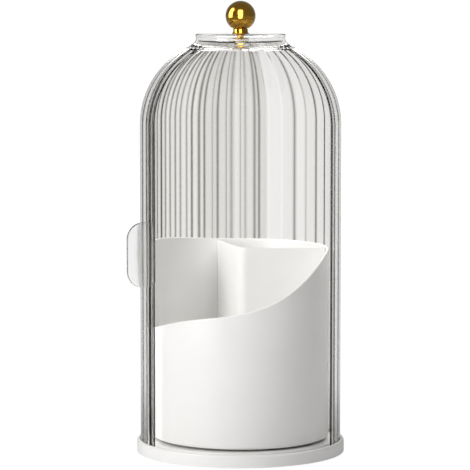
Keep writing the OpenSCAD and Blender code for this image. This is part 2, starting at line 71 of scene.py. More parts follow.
roomSetup = {
    "worldOnSolids": 0.10,   # even light on white and metal pieces
    "worldInGloss": 0.26,    # what polished pieces mirror of the room
    "floorReach": 6.0,
    "floorDrop": 0.0002,     # below the pad
    "floorColour": (0.90, 0.90, 0.90),
    "floorGlow": 0.93,       # share of the floor that shows as plain white beside the object
    "floorGlowStrength": 1.04,
    "floorInGloss": 0.40,    # what polished pieces mirror of the floor
    "floorClear": (0.10, 0.45),    # metres from the axis over which it goes over to white alone
    "floorBelow": (0.12, 0.32),    # metres over which the mirrored floor gets white again
    "bounces": 24,
}

# Each lamp has a width and height in metres, a power in watts, and a place: degrees round from the
# front, degrees up and metres away from the point on the axis at which it aims. "matt" says that it
# lights matt surfaces and "mirrored" that it shows in polished ones. "gold" keeps it to the gold
# pieces or away from them.
lampSetup = {
    "keyLight": {"size": (0.9, 1.0), "power": 17.5, "place": (-52, 22, 1.5), "aim": 0.15,
                 "matt": True, "mirrored": True, "gold": "skip"},
    "fillLight": {"size": (0.9, 0.9), "power": 6.0, "place": (35, 50, 1.5), "aim": 0.15,
                  "matt": True, "mirrored": False},
    "backLight": {"size": (1.0, 1.0), "power": 13.0, "place": (180, 32, 1.6), "aim": 0.15,
                  "matt": True, "mirrored": False},
    "sideCard": {"size": (0.13, 1.1), "power": 1.5, "place": (47, 4, 1.6), "aim": 0.15,
                 "matt": False, "mirrored": True, "gold": "skip"},
    "frontCard": {"size": (0.46, 0.95), "power": 13.0, "place": (-1.5, 22, 0.8), "aim": 0.15,
                  "matt": False, "mirrored": True, "gold": "only"},
    "leftCard": {"size": (0.30, 0.6), "power": 5.2, "place": (-84, 0, 0.5), "aim": 0.52,
                 "matt": False, "mirrored": True, "gold": "only"},
}


def makeCamera():
    data = bpy.data.cameras.new("viewCamera")
    data.lens = viewSetup["lens"]
    data.sensor_width = viewSetup["sensor"]
    data.clip_start, data.clip_end = viewSetup["clip"]
    camera = bpy.data.objects.new("viewCamera", data)
    bpy.context.scene.collection.objects.link(camera)
    camera.location = (viewSetup["sideStep"], -viewSetup["distance"], viewSetup["height"])
    camera.rotation_euler = (math.radians(90 - viewSetup["tiltDown"]), 0, 0)
    bpy.context.scene.camera = camera


def addNode(tree, kind, inputs=None, **settings):
    made = tree.nodes.new(kind)
    for key, value in settings.items():
        setattr(made, key, value)
    for key, value in (inputs or {}).items():
        setSocket(tree, made.inputs[key], value)
    return made


def setSocket(tree, socket, value):
    # a value is another node's output or a constant
    if isinstance(value, bpy.types.NodeSocket):
        tree.links.new(value, socket)
    else:
        socket.default_value = value


def maths(tree, operation, first, second):
    return addNode(tree, "ShaderNodeMath", {0: first, 1: second}, operation=operation).outputs[0]


def between(tree, share, first, second):
    return addNode(tree, "ShaderNodeMix", {"Factor": share, 2: first, 3: second}).outputs[0]


def spread(tree, source, low, high, fromLow=0.3, fromHigh=0.7):
    # by default the range that a noise texture's values mostly cover
    return addNode(tree, "ShaderNodeMapRange", {"Value": source, "From Min": fromLow,
                                                "From Max": fromHigh, "To Min": low,
                                                "To Max": high}).outputs[0]


def seenRays(tree):
    # rays from the camera and through clear pieces, without those that light a matt surface
    path = addNode(tree, "ShaderNodeLightPath").outputs
    plain = maths(tree, "LESS_THAN", path["Diffuse Depth"], 0.5)
    through = maths(tree, "MULTIPLY", path["Is Transmission Ray"], plain)
    return maths(tree, "MAXIMUM", path["Is Camera Ray"], through), path


def emptyTree(owner):
    owner.use_nodes = True
    owner.node_tree.nodes.clear()
    return owner.node_tree


def makeWorld():
    world = bpy.data.worlds.new("studio")
    tree = emptyTree(world)
    seen, path = seenRays(tree)
    inGloss = between(tree, path["Is Glossy Ray"], roomSetup["worldOnSolids"],
                      roomSetup["worldInGloss"])
    strength = between(tree, seen, inGloss, 1.0)
    light = addNode(tree, "ShaderNodeBackground", {"Color": (1, 1, 1, 1), "Strength": strength})
    output = addNode(tree, "ShaderNodeOutputWorld")
    tree.links.new(light.outputs[0], output.inputs["Surface"])
    bpy.context.scene.world = world


def makeFloor():
    # matt, but plain white where the camera or a clear piece shows it, and darker in a mirror
    reach = roomSetup["floorReach"]
    mesh = bpy.data.meshes.new("floor")
    mesh.from_pydata([(-reach, -reach, 0), (reach, -reach, 0), (reach, reach, 0),
                      (-reach, reach, 0)], [], [(0, 1, 2, 3)])
    floor = bpy.data.objects.new("floor", mesh)
    bpy.context.scene.collection.objects.link(floor)
    floor.location = (0, 0, -roomSetup["floorDrop"])
    material = bpy.data.materials.new("paleFloor")
    tree = emptyTree(material)
    seen, path = seenRays(tree)
    shown = maths(tree, "MAXIMUM", seen, path["Is Glossy Ray"])
    place = addNode(tree, "ShaderNodeTexCoord").outputs["Object"]
    away = addNode(tree, "ShaderNodeVectorMath", {0: place}, operation="LENGTH").outputs["Value"]
    notThrough = maths(tree, "SUBTRACT", path["Is Glossy Ray"], path["Is Transmission Ray"])
    first = maths(tree, "MAXIMUM", notThrough, 0.0)
    again = maths(tree, "MULTIPLY", maths(tree, "GREATER_THAN", path["Glossy Depth"], 0.5),
                  spread(tree, away, 1.0, 0.0, *roomSetup["floorBelow"]))
    mirrored = maths(tree, "MAXIMUM", first, again)
    level = between(tree, mirrored, roomSetup["floorGlowStrength"], roomSetup["floorInGloss"])
    clear = spread(tree, away, roomSetup["floorGlow"], 1.0, *roomSetup["floorClear"])
    share = maths(tree, "MULTIPLY", shown, clear)
    matt = addNode(tree, "ShaderNodeBsdfDiffuse", {"Color": (*roomSetup["floorColour"], 1)})
    glow = addNode(tree, "ShaderNodeEmission", {"Color": (1, 1, 1, 1), "Strength": level})
    both = addNode(tree, "ShaderNodeMixShader", {0: share, 1: matt.outputs[0], 2: glow.outputs[0]})
    output = addNode(tree, "ShaderNodeOutputMaterial")
    tree.links.new(both.outputs[0], output.inputs["Surface"])
    mesh.materials.append(material)


def makeLamp(name, setup):
    data = bpy.data.lights.new(name, "AREA")
    data.shape = "RECTANGLE"
    data.size, data.size_y = setup["size"]
    data.energy = setup["power"]
    lamp = bpy.data.objects.new(name, data)
    bpy.context.scene.collection.objects.link(lamp)
    degreesRound, degreesUp, away = setup["place"]
    turn, up = math.radians(degreesRound), math.radians(degreesUp)
    lamp.location = (math.sin(turn) * math.cos(up) * away, -math.cos(turn) * math.cos(up) * away,
                     setup["aim"] + math.sin(up) * away)
    lamp.rotation_euler = (math.radians(90) - up, 0, turn)
    lamp.visible_camera = False
    lamp.visible_diffuse = setup["matt"]
    lamp.visible_transmission = setup["matt"]
    lamp.visible_glossy = setup["mirrored"]
    return lamp


def setBounces():
    cycles = bpy.context.scene.cycles
    cycles.max_bounces = roomSetup["bounces"]
    cycles.transmission_bounces = roomSetup["bounces"]
    cycles.transparent_max_bounces = roomSetup["bounces"]


bpy.context.scene.view_settings.view_transform = "Standard"
makeCamera()
makeWorld()
makeFloor()
lamps = {name: makeLamp(name, setup) for name, setup in lampSetup.items()}
setBounces()
print("view and light ready")


# Finishes: each noise is (scale, detail, stretch) and each bump (strength, depth)

def startMaterial(name):
    material = bpy.data.materials.new(name)
    tree = emptyTree(material)
    shader = addNode(tree, "ShaderNodeBsdfPrincipled")
    output = addNode(tree, "ShaderNodeOutputMaterial")
    tree.links.new(shader.outputs[0], output.inputs["Surface"])
    return material, tree, shader


def grain(tree, scale, detail, stretch=(1, 1, 1)):
    place = addNode(tree, "ShaderNodeTexCoord").outputs["Object"]
    place = addNode(tree, "ShaderNodeMapping", {"Vector": place, "Scale": stretch}).outputs[0]
    return addNode(tree, "ShaderNodeTexNoise", {"Vector": place, "Scale": scale,
                                                "Detail": detail}).outputs[0]


def blendColours(tree, share, first, second):
    mixed = addNode(tree, "ShaderNodeMix", {"Factor": share}, data_type="RGBA")
    for socket, colour in ((mixed.inputs[6], first), (mixed.inputs[7], second)):
        setSocket(tree, socket, (*colour, 1))
    return mixed.outputs[2]


def addBump(tree, shader, bump, height, extra=None):
    strength, depth = bump
    relief = addNode(tree, "ShaderNodeBump", {"Strength": strength, "Distance": depth,
                                              "Height": height, **(extra or {})})
    tree.links.new(relief.outputs[0], shader.inputs["Normal"])


whitePlastic = {
    "cloud": (38, 5),
    "colours": ((0.90, 0.892, 0.878), (0.866, 0.855, 0.836)),
    "shadeMost": 0.6,
    "smear": (90, 6, (1, 1, 0.35)),
    "roughness": (0.30, 0.40),
    "edge": 0.35 * mm,
    "edgeSamples": 4,
    "spark": (2600, 2),
    "bump": (0.05, 0.02 * mm),
    "ior": 1.53,
}

clearPlastic = {
    "streak": (60, 4, (1, 1, 0.08)),
    "colour": (0.945, 0.94, 0.928),
    # painted shade: the dark colour that the shells' groove lines, flute tones and cut edges are
    # blended towards, in place of the dark that refraction gives them
    "paintedShadeColour": (0.125, 0.112, 0.092),
    "roughness": (0.015, 0.06),
    "bump": (0.25, 0.25 * mm),
    "ior": 1.33,
    "lampTint": (0.95, 0.95, 0.95),      # of lamp light on its way to what stands inside
}

milkyPlastic = {
    **clearPlastic,
    "colour": (0.88, 0.885, 0.885),
    "milk": (0.8, 0.8, 0.8),
    "milkMost": 0.3,
    "roughness": (0.10, 0.2),
}

goldPlating = {
    "cloud": (140, 4),
    "colours": ((0.48, 0.255, 0.018), (0.39, 0.195, 0.012)),
    "roughness": (0.10, 0.17),
    "relief": (900, 3, (1, 1, 0.2)),
    "bump": (0.06, 0.02 * mm),
    "metallic": 1.0,
    "coat": (0.4, 0.06),     # weight and roughness
}

zincSteel = {
    "cloud": (700, 4, (1, 1, 0.1)),
    "colours": ((0.62, 0.62, 0.63), (0.5, 0.5, 0.51)),
    "roughness": (0.16, 0.3),
    "bump": (0.1, 0.02 * mm),
    "metallic": 1.0,
}

plainNylon = {
    "cloud": (300, 6),
    "colours": ((0.84, 0.82, 0.77), (0.78, 0.76, 0.70)),
    "roughness": (0.45, 0.6),
    "bump": (0.4, 0.03 * mm),
}

foamRubber = {
    "cloud": (900, 6),
    "colours": ((0.035, 0.035, 0.038), (0.06, 0.06, 0.062)),
    "roughness": (0.8, 0.95),
    "bump": (0.4, 0.15 * mm),
}


def makeWhite(name, finish):
    material, tree, shader = startMaterial(name)
    share = spread(tree, grain(tree, *finish["cloud"]), 0, finish["shadeMost"])
    tree.links.new(blendColours(tree, share, *finish["colours"]), shader.inputs["Base Color"])
    smear = grain(tree, *finish["smear"])
    tree.links.new(spread(tree, smear, *finish["roughness"]), shader.inputs["Roughness"])
    edge = addNode(tree, "ShaderNodeBevel", {"Radius": finish["edge"]},
                   samples=finish["edgeSamples"])
    addBump(tree, shader, finish["bump"], grain(tree, *finish["spark"]),
            {"Normal": edge.outputs[0]})
    shader.inputs["IOR"].default_value = finish["ior"]
    return material


def makeClear(name, finish):
    material, tree, shader = startMaterial(name)
    streak = grain(tree, *finish["streak"])
    if "milk" in finish:
        share, second = spread(tree, streak, 0, finish["milkMost"]), finish["milk"]
    else:
        # the shells' meshes carry, as the attribute groove, how much painted shade each point has:
        # dark lines along the grooves, darker flutes and darker cut edges, in place of the shade
        # that refraction gives them
        share = addNode(tree, "ShaderNodeAttribute", attribute_name="groove").outputs["Fac"]
        second = finish["paintedShadeColour"]
    tone = blendColours(tree, share, finish["colour"], second)
    tree.links.new(tone, shader.inputs["Base Color"])
    tree.links.new(spread(tree, streak, *finish["roughness"]), shader.inputs["Roughness"])
    addBump(tree, shader, finish["bump"], streak)
    shader.inputs["Transmission Weight"].default_value = 1.0
    shader.inputs["IOR"].default_value = finish["ior"]
    letThrough = addNode(tree, "ShaderNodeBsdfTransparent", {"Color": (*finish["lampTint"], 1)})
    fromLamp = addNode(tree, "ShaderNodeLightPath").outputs["Is Shadow Ray"]
    both = addNode(tree, "ShaderNodeMixShader", {0: fromLamp, 1: shader.outputs[0],
                                                 2: letThrough.outputs[0]})
    output = next(node for node in tree.nodes if node.type == "OUTPUT_MATERIAL")
    tree.links.new(both.outputs[0], output.inputs["Surface"])
    return material


def makeOpaque(name, finish):
    material, tree, shader = startMaterial(name)
    cloud = grain(tree, *finish["cloud"])
    colour = blendColours(tree, spread(tree, cloud, 0, 1), *finish["colours"])
    tree.links.new(colour, shader.inputs["Base Color"])
    tree.links.new(spread(tree, cloud, *finish["roughness"]), shader.inputs["Roughness"])
    relief = grain(tree, *finish["relief"]) if "relief" in finish else cloud
    addBump(tree, shader, finish["bump"], relief)
    shader.inputs["Metallic"].default_value = finish.get("metallic", 0.0)
    if "coat" in finish:
        shader.inputs["Coat Weight"].default_value = finish["coat"][0]
        shader.inputs["Coat Roughness"].default_value = finish["coat"][1]
    return material


finishOf = {
    "white_plastic": makeWhite("whiteAbs", whitePlastic),
    "clear_fluted_plastic": makeClear("clearFluted", clearPlastic),
    "clear_handle_plastic": makeClear("clearMilky", milkyPlastic),
    "polished_gold": makeOpaque("polishedGold", goldPlating),
    "bright_steel": makeOpaque("brightSteel", zincSteel),
    "nylon": makeOpaque("nylon", plainNylon),
    "rubber": makeOpaque("foamRubber", foamRubber),
}
print("finishes ready")

# the solids that show as they are get the finish that the record names
for part in frame["record"]["subparts"]:
    nodeObject = frame["nodes"][part["node"]]
    if not nodeObject.material_slots:
        nodeObject.data.materials.append(None)
    for place in nodeObject.material_slots:
        place.material = finishOf[part["material_slot"]]


# Mesh helpers

def cosSin(degrees):
    return math.cos(math.radians(degrees)), math.sin(math.radians(degrees))


def makePiece(name, points, faces, body, slotName, standsFor=(), sharpOver=22.0, values=None):
    # edges that bend more than sharpOver degrees stay sharp; values is each point's painted shade
    mesh = bpy.data.meshes.new(name)
    mesh.from_pydata(points, [], faces)
    mesh.update()
    mesh.shade_smooth()
    mesh.set_sharp_from_angle(angle=math.radians(sharpOver))
    if values:
        # each point's painted shade goes into the attribute groove, which the clear finish reads
        paintedShade = mesh.attributes.new("groove", "FLOAT", "POINT")
        paintedShade.data.foreach_set("value", values)
    piece = bpy.data.objects.new(name, mesh)
    bpy.context.scene.collection.objects.link(piece)
    mesh.materials.append(finishOf[slotName])
    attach(piece, body)
    if standsFor:
        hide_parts(*standsFor)


def smoothStep(value):
    value = min(1.0, max(0.0, value))
    return value * value * (3 - 2 * value)


def softLoop(corners, steps):
    # a closed outline from (x, y, radius) corners, with an arc in place of each that has a radius
    outline = []
    for k, (x, y, radius) in enumerate(corners):
        if radius <= 0:
            outline.append((x, y))
            continue
        before, after = corners[k - 1], corners[(k + 1) % len(corners)]
        one = math.atan2(before[1] - y, before[0] - x)
        two = math.atan2(after[1] - y, after[0] - x)
        turn = (two - one + math.pi) % (2 * math.pi) - math.pi
        half = abs(turn) / 2
        middle = one + turn / 2
        cx = x + math.cos(middle) * radius / math.sin(half)
        cy = y + math.sin(middle) * radius / math.sin(half)
        sweep = (math.pi - 2 * half) * (1 if turn < 0 else -1)
        start = middle + math.pi - sweep / 2
        outline += [(cx + radius * math.cos(start + sweep * i / steps),
                     cy + radius * math.sin(start + sweep * i / steps)) for i in range(steps + 1)]
    return outline


def turned(name, profile, body, slotName, standsFor=(), count=96):
    # a piece turned about the axis, from a closed (rho, z) outline; points on the axis become poles
    area = sum(a[0] * b[1] - b[0] * a[1] for a, b in zip(profile, profile[1:] + profile[:1]))
    if area < 0:
        profile = profile[::-1]
    points, rings = [], []
    for rho, z in profile:
        if rho == 0:
            rings.append([len(points)] * count)
            points.append((0, 0, z))
        else:
            rings.append([len(points) + k for k in range(count)])
            for k in range(count):
                turn = 2 * math.pi * k / count
                points.append((rho * math.cos(turn), rho * math.sin(turn), z))
    faces = []
    for low, high in zip(rings, rings[1:] + rings[:1]):
        for k in range(count):
            n = (k + 1) % count
            face = []
            for index in (low[k], low[n], high[n], high[k]):
                if index not in face:
                    face.append(index)
            if len(face) > 2:
                faces.append(tuple(face))
    makePiece(name, points, faces, body, slotName, standsFor)


def swept(name, sections, body, slotName, standsFor=()):
    # a closed skin over a row of outlines with the same number of points, capped at both ends,
    # and turned right side out
    wide = len(sections[0])
    points = [point for section in sections for point in section]
    lastStart = (len(sections) - 1) * wide
    faces = [tuple(range(wide))[::-1], tuple(range(lastStart, lastStart + wide))]
    for i in range(len(sections) - 1):
        for k in range(wide):
            n = (k + 1) % wide
            faces.append((i * wide + k, i * wide + n, (i + 1) * wide + n, (i + 1) * wide + k))
    corners = [[Vector(points[index]) for index in face] for face in faces]
    inside = sum(face[0].dot(face[k].cross(face[k + 1]))
                 for face in corners for k in range(1, len(face) - 1))
    if inside < 0:
        faces = [face[::-1] for face in faces]
    makePiece(name, points, faces, body, slotName, standsFor)


def around(rho, z, degrees, sideways=0.0):
    # the point at a distance from the axis, a height and a direction
    c, s = cosSin(degrees)
    return rho * c - sideways * s, rho * s + sideways * c, z


# The cup: floor, wall and rolled rim as one skin

cup = {
    "outer": 59.7 * mm,
    "wall": 2.0 * mm,
    "low": 10.8 * mm,
    "floorLow": 13.2 * mm,
    "floorTop": 15.2 * mm,
    "hubTop": 17.8 * mm,
    "footRound": 2.2 * mm,
    "boreR": 4.25 * mm,
    "hubR": 6.05 * mm,
    "seats": ((24.4 * mm, 26 * mm), (34 * mm, 35.6 * mm)),   # walls on both sides of the upper race
    "seatLow": 11.2 * mm,
    "raceTop": 12.8 * mm,
    "floorRound": 1 * mm,        # between the floor and the wall
    "floorRing": 30 * mm,        # a row of points across the floor
    # curves of (x, height) from left to right, with two handles each
    "frontRim": ((-59.7 * mm, 85 * mm), (-24.48 * mm, 108.7 * mm), (16.42 * mm, 83.5 * mm),
                 (59.7 * mm, 138.4 * mm)),
    "rearRim": ((-59.7 * mm, 142.7 * mm), (-35.82 * mm, 140.55 * mm), (-23.88 * mm, 138.4 * mm),
                (-5.97 * mm, 138.4 * mm)),
    "topCorner": 4 * mm,         # roundings of the step at the left, where the rear rim drops
    "stepFillet": 2.5 * mm,
    "rearPoints": 74,
    "stepPoints": 16,
    "frontPoints": 110,
    "lipSteps": 8,
    "sameTurn": 1e-6,            # two points of the rim closer than this stand over each other
    "sharpOver": 40,
    "ribs": 8,
    "ribThick": 1.4 * mm,
    "ribSoft": 0.25 * mm,
    "ribSteps": 3,
    "ribBite": 0.4 * mm,         # into the floor and both walls beside it
}


def curveHeight(curve, x):
    # the height of a Bezier curve where it passes a given x, by halving
    low, high = 0.0, 1.0
    for halving in range(40):
        t = (low + high) / 2
        weights = ((1 - t) ** 3, 3 * t * (1 - t) ** 2, 3 * t * t * (1 - t), t ** 3)
        if sum(w * point[0] for w, point in zip(weights, curve)) < x:
            low = t
        else:
            high = t
    return sum(w * point[1] for w, point in zip(weights, curve))


def rimPath():
    # (arc length along the wall's middle, height) once round from the right: the rear rim, the
    # step and the front rim
    reach = cup["outer"] - cup["wall"] / 2
    rear, front = cup["rearRim"], cup["frontRim"]
    corner, fillet = cup["topCorner"], cup["stepFillet"]
    edge = math.pi * reach
    path = []
    for k in range(cup["rearPoints"]):
        turn = (edge - corner) / reach * k / cup["rearPoints"]
        x = cup["outer"] * math.cos(turn)
        path.append((turn * reach, rear[3][1] if x > rear[3][0] else curveHeight(rear, x)))
    top = rear[0][1]
    for degrees in range(0, 91, 15):
        c, s = cosSin(degrees)
        path.append((edge - corner + corner * s, top - corner + corner * c))
    low, steps = front[0][1], cup["stepPoints"]
    path += [(edge, top - corner + (low + fillet - top + corner) * k / steps)
             for k in range(1, steps + 1)]
    for degrees in range(18, 91, 18):
        c, s = cosSin(degrees)
        path.append((edge + fillet - fillet * c, low + fillet - fillet * s))
    steps = cup["frontPoints"] + 1
    for k in range(1, steps):
        turn = math.pi + fillet / reach + (math.pi - fillet / reach) * k / steps
        path.append((turn * reach, curveHeight(front, cup["outer"] * math.cos(turn))))
    return path


def rimRails(path, reach, half):
    # for each point of the path, the lip's centre below it and the way the lip faces there
    total = 2 * math.pi * reach
    rails = []
    for k, (along, z) in enumerate(path):
        before = path[k - 1] if k else (path[-1][0] - total, path[-1][1])
        after = path[k + 1] if k + 1 < len(path) else (path[0][0] + total, path[0][1])
        step = (after[0] - before[0], after[1] - before[1])
        size = math.hypot(*step)
        normal = (-step[1] / size, step[0] / size)
        rails.append(((along - normal[0] * half, z - normal[1] * half), normal))
    return rails


def cupRows(inside):
    # (rho, z) from the outer foot over the underside, the seats and the hub to the floor's edge
    foot, soft = cup["footRound"], cup["floorRound"]
    rows = []
    for degrees in range(0, 91, 15):
        c, s = cosSin(degrees)
        rows.append((cup["outer"] - foot + foot * c, cup["low"] + foot - foot * s))
    seats = [corner for inner, outer in cup["seats"][::-1]
             for corner in ((outer, cup["floorLow"]), (outer, cup["seatLow"]),
                            (inner, cup["seatLow"]), (inner, cup["floorLow"]))]
    # between the two seats the underside is the upper race's seat
    seats[3] = (cup["seats"][1][0], cup["raceTop"])
    seats[4] = (cup["seats"][0][1], cup["raceTop"])
    rows += [(inside, cup["low"]), (inside, cup["floorLow"]), *seats,
             (cup["hubR"], cup["floorLow"]), (cup["hubR"], cup["seatLow"]),
             (cup["boreR"], cup["seatLow"]), (cup["boreR"], cup["hubTop"]),
             (cup["hubR"], cup["hubTop"]), (cup["hubR"], cup["floorTop"]),
             (cup["floorRing"], cup["floorTop"])]
    for degrees in range(0, 91, 18):
        c, s = cosSin(degrees)
        rows.append((inside - soft + soft * s, cup["floorTop"] + soft - soft * c))
    return rows


def makeCup():
    reach, half = cup["outer"] - cup["wall"] / 2, cup["wall"] / 2
    inside = cup["outer"] - cup["wall"]
    rails = rimRails(rimPath(), reach, half)
    count = len(rails)
    turns = [base[0] for base, normal in rails]
    # the upright step is one column of the wall, from its first point to its last
    upright = [k for k in range(1, count) if abs(turns[k] - turns[k - 1]) < cup["sameTurn"]]
    first, last = upright[0] - 1, upright[-1]

    points, faces = [], []
    rim = []
    lipSteps = cup["lipSteps"]
    for base, normal in rails:
        row = []
        for k in range(lipSteps + 1):
            out, side = cosSin(180 * k / lipSteps)
            row.append(len(points))
            points.append(around(reach + half * out, base[1] + normal[1] * half * side,
                                 math.degrees((base[0] + normal[0] * half * side) / reach)))
        rim.append(row)
    for k in range(count):
        n = (k + 1) % count
        for a in range(lipSteps):
            faces.append((rim[k][a], rim[n][a], rim[n][a + 1], rim[k][a + 1]))

    columns = [k for k in range(count) if not first < k <= last]
    rows = cupRows(inside)
    grid = []
    for k in columns:
        degrees = math.degrees(turns[k] / reach)
        grid.append([len(points) + i for i in range(len(rows))])
        points += [around(rho, z, degrees) for rho, z in rows]
    for c in range(len(columns)):
        k, n = columns[c], columns[(c + 1) % len(columns)]
        here, there = grid[c], grid[(c + 1) % len(columns)]
        for i in range(len(rows) - 1):
            faces.append((here[i + 1], there[i + 1], there[i], here[i]))
        topRow = [n, k]
        if n == first:
            topRow = [*range(last, first - 1, -1), k]
        elif k == first:
            topRow = [n, last]
        faces.append((here[0], there[0], *[rim[i][0] for i in topRow]))
        faces.append((here[-1], there[-1], *[rim[i][-1] for i in topRow])[::-1])
    makePiece("cupShell", points, faces, "cup", "white_plastic", ["cup"], cup["sharpOver"])

    thick, soft, bite = cup["ribThick"] / 2, cup["ribSoft"], cup["ribBite"]
    top = cup["floorLow"] + bite
    outline = softLoop([(-thick, cup["seatLow"], soft), (thick, cup["seatLow"], soft),
                        (thick, top, 0), (-thick, top, 0)], cup["ribSteps"])
    for k in range(cup["ribs"]):
        degrees = 360 * k / cup["ribs"]
        swept(f"cupRib{k + 1}", [[around(rho, z, degrees, -side) for side, z in outline]
                                 for rho in (cup["seats"][1][1] - bite, inside + bite)],
              "cup", "white_plastic", ["cup"])


makeCup()
print("cup built")


# The two fluted shells

flutes = {
    "count": 42,
    "depth": 0.62 * mm,
    # columns of points across a flute, from one groove to the next
    "stations": (-0.5, -0.475, -0.44, -0.36, -0.24, -0.12, 0, 0.12, 0.24, 0.36, 0.44, 0.475),
    "grooveWidth": (0.11, 0.24),   # share of a flute that carries painted shade towards its groove
    "faintShare": 0.1,
    "endRadius": 35.4 * mm,        # distance from the axis at which the flutes end on the dome
    "endBow": 0.8 * mm,
    "endStep": 1.2 * mm,
    # distances from the axis over which the painted shade and the relief fade out
    "lineFade": (30 * mm, 37 * mm),
    "capFade": (32.8 * mm, 34.6 * mm),
}

dome = {
    "start": 221.3 * mm,
    "shoulderIn": 10.5 * mm,       # from the axis to the centre of the shoulder's arc
    "crownMore": 4.5 * mm,         # crown radius over barrel radius
    "neckRho": 35.1 * mm,          # centre of the neck's arc
    "neckZ": 279.684 * mm,
    "levels": (9 * mm, 30 * mm, 70 * mm, 110 * mm, 150 * mm, 190 * mm),   # rows on the barrel
    # rows on the dome, in degrees up
    "stops": (3, 6, 10, 14, 18, 22, 26, 30, 34, 38, 42, 45.574, 48, 50, 52, 53.5, 55, 56.5, 57.5,
              58.2, 58.9),
}
dome["crownZ"] = dome["start"] - math.sqrt((dome["crownMore"] + dome["shoulderIn"]) ** 2
                                           - dome["shoulderIn"] ** 2)
dome["joinAngle"] = math.degrees(math.atan2(dome["start"] - dome["crownZ"], dome["shoulderIn"]))
dome["neckAngle"] = math.degrees(math.atan2(dome["neckZ"] - dome["crownZ"], dome["neckRho"]))

coverShell = {
    "outer": 67.5 * mm,
    "wall": 1.4 * mm,
    "low": 5.2 * mm,
    "neckRound": 5.5 * mm,
    "neckSteps": 8,
    "groove": 90.0,          # degrees, where one groove runs
    "opening": (13.5, 28.5),     # from and to, in flutes from there
    "openTop": 59.58,        # degrees up the crown
    "moreStops": (60.6, 61.8),
    "lidRadius": 30 * mm,
    "lidThick": 1.4 * mm,
    "lidSoft": 0.2 * mm,
    "lidRings": (18 * mm, 8 * mm),
    "bead": 0.5 * mm,
    "beadWidth": 1.6 * mm,
    "hole": 2.0 * mm,
    "lines": (0.45, 1.0),    # least and most painted shade along a groove
    "tone": (0.12, 0.24),    # least and most painted shade over a whole flute
    "faint": (39, 40),       # grooves that carry hardly any painted shade
    "edgeShade": 0.12,       # painted shade of the cut edges
    "seed": 3,
}

doorShell = {
    "outer": 65.7 * mm,
    "wall": 1.3 * mm,
    "low": 5.6 * mm,
    "neckRound": 7.3 * mm,
    "neckSteps": 6,
    "trail": 74.1,           # degrees, the edges of the door
    "lead": 207.88,
    "openTop": 62.19,
    "moreStops": (60.0, 61.1),
    "topZ": 277.484 * mm,
    "plate": 1.4 * mm,
    "lidRings": (18 * mm, 9 * mm),
    "hole": 3.45 * mm,
    # painted shade of the door's grooves, flutes and cut edges
    "lines": (0.45, 1.0),
    "tone": (0.0, 0.08),
    "faint": (13, 14, 15),
    "edgeShade": 0.05,
    "seed": 11,
}


def fluteWeight(u, rho):
    # how far the surface stands out between groove level (0) and the flute's crest (1)
    crest = 1 - (2 * u) ** 2
    end = flutes["endRadius"] + flutes["endBow"] * (2 * u) ** 2
    return crest * smoothStep((rho - end) / flutes["endStep"] + 0.5)


def chance(number, seed):
    # an even spread of values from 0 to 1 that is the same on every run
    value = math.sin(number * 12.9898 + seed * 78.233) * 43758.5453
    return value - math.floor(value)


def fade(rho, limits):
    return smoothStep((rho - limits[0]) / (limits[1] - limits[0]))


def shellSurface(profile, angles, shell):
    # every row of (rho, z, normalRho, normalZ, fluted) crossed with every column of
    # (degrees, place across the flute, flute), and how much painted shade each point has
    points, paintedShade = [], []
    lineLow, lineHigh = shell["lines"]
    toneLow, toneHigh = shell["tone"]
    narrow, wide = flutes["grooveWidth"]
    for rho, z, normalRho, normalZ, fluted in profile:
        level = fluted * fade(rho, flutes["capFade"])
        shown = fade(rho, flutes["lineFade"])
        for degrees, u, flute in angles:
            inward = level * flutes["depth"] * (1 - fluteWeight(u, rho))
            r, height = rho - normalRho * inward, z - normalZ * inward
            turn = math.radians(degrees)
            points.append((r * math.cos(turn), r * math.sin(turn), height))
            # painted shade: a dark line along each groove and a darker tone over some whole flutes,
            # fading out towards the lid
            groove = (flute if u < 0 else flute + 1) % flutes["count"]
            width = narrow + (wide - narrow) * chance(groove, shell["seed"] + 2) ** 2
            near = max(0.0, 1 - (0.5 - abs(u)) / width)
            line = lineLow + (lineHigh - lineLow) * chance(groove, shell["seed"])
            if groove in shell["faint"]:
                line *= flutes["faintShare"]
            tone = toneLow + (toneHigh - toneLow) * chance(flute, shell["seed"] + 1)
            paintedShade.append(max(line * near, tone * (1 - 0.5 * near)) * shown)
    return points, paintedShade


def columnAngles(groove, extra=()):
    # the columns of all flutes from one groove on, and of any edge that lies between them
    pitch = 360 / flutes["count"]
    columns = [(groove + (k + 0.5 + u) * pitch, u, k) for k in range(flutes["count"])
               for u in flutes["stations"]]
    for degrees in extra:
        turn = (degrees - groove) / pitch % flutes["count"]
        columns.append((groove + turn * pitch, turn % 1 - 0.5, int(turn)))
    return sorted(columns)


def within(degrees, start, end):
    return (degrees - start) % 360 < (end - start) % 360


def domePoint(radius, stop):
    # a point on the dome's face, with the shell's barrel at that radius, and the way it faces
    c, s = cosSin(stop)
    if stop <= dome["joinAngle"]:
        arc = radius - dome["shoulderIn"]
        return dome["shoulderIn"] + arc * c, dome["start"] + arc * s, c, s
    return (radius + dome["crownMore"]) * c, dome["crownZ"] + (radius + dome["crownMore"]) * s, c, s


